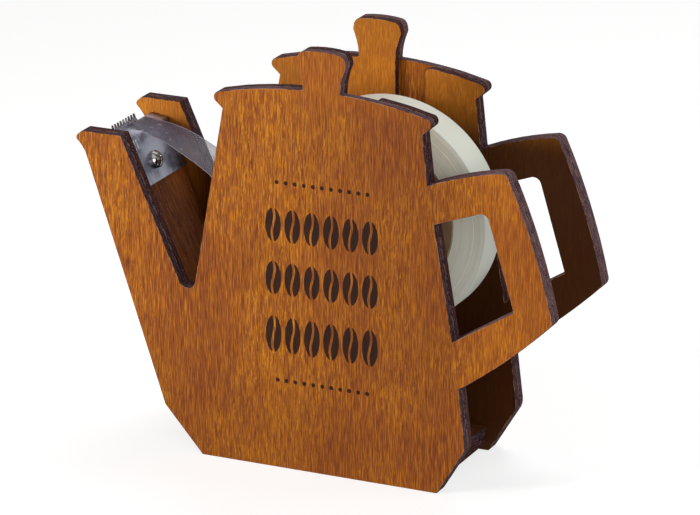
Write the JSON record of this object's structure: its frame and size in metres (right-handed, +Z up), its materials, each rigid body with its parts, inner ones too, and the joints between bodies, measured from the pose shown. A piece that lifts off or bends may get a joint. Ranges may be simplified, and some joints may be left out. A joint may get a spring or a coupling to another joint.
{
  "type": "tape dispenser",
  "caption": "Desk tape dispenser with stained plywood walls cut as a pouring pot, a toothed steel cutter in the spout and a roll that drops in from above.",
  "frame": {"origin": "centre of the bounding box on the table, under the part", "axes": "X along the length with the spout at -X and the handle at +X, front face at -Y, Z up"},
  "size_m": [0.221, 0.064, 0.1879],
  "materials": {
    "stained_ply": "stained, satin",
    "board_ply": "stained, satin",
    "cutter_steel": "brushed",
    "screw_steel": "polished",
    "dowel_wood": "bare",
    "hub_ply": "bare",
    "cardboard": "matt paper board",
    "wound_tape": "satin",
    "free_tape": "clear"
  },
  "bodies": {
    "stand": {"side_panel_front": "stained_ply", "slot_panel_front": "stained_ply", "slot_panel_rear": "stained_ply", "side_panel_rear": "stained_ply", "base_board_lower": "board_ply", "base_board_upper": "board_ply", "neck_board": "board_ply", "neck_backer": "board_ply", "cutter_blade": "cutter_steel", "cutter_screw": "screw_steel"},
    "spindle": {"axle": "dowel_wood", "spacer_front": "dowel_wood", "spacer_rear": "dowel_wood", "tape_strip": "free_tape"},
    "reel": {"hub_disc_front": "hub_ply", "hub_drum": "hub_ply", "hub_disc_rear": "hub_ply", "tape_core": "cardboard", "tape_roll": "wound_tape"}
  },
  "joints": [
    {"name": "roll_lift", "type": "slide", "parent": "stand", "child": "spindle", "axis": [0, 0, 1], "range_m": [0, 0.15]},
    {"name": "reel_spin", "type": "hinge", "parent": "spindle", "child": "reel", "pos_m": [0.0205, 0, 0.1106], "axis": [0, 1, 0], "continuous": true}
  ]
}
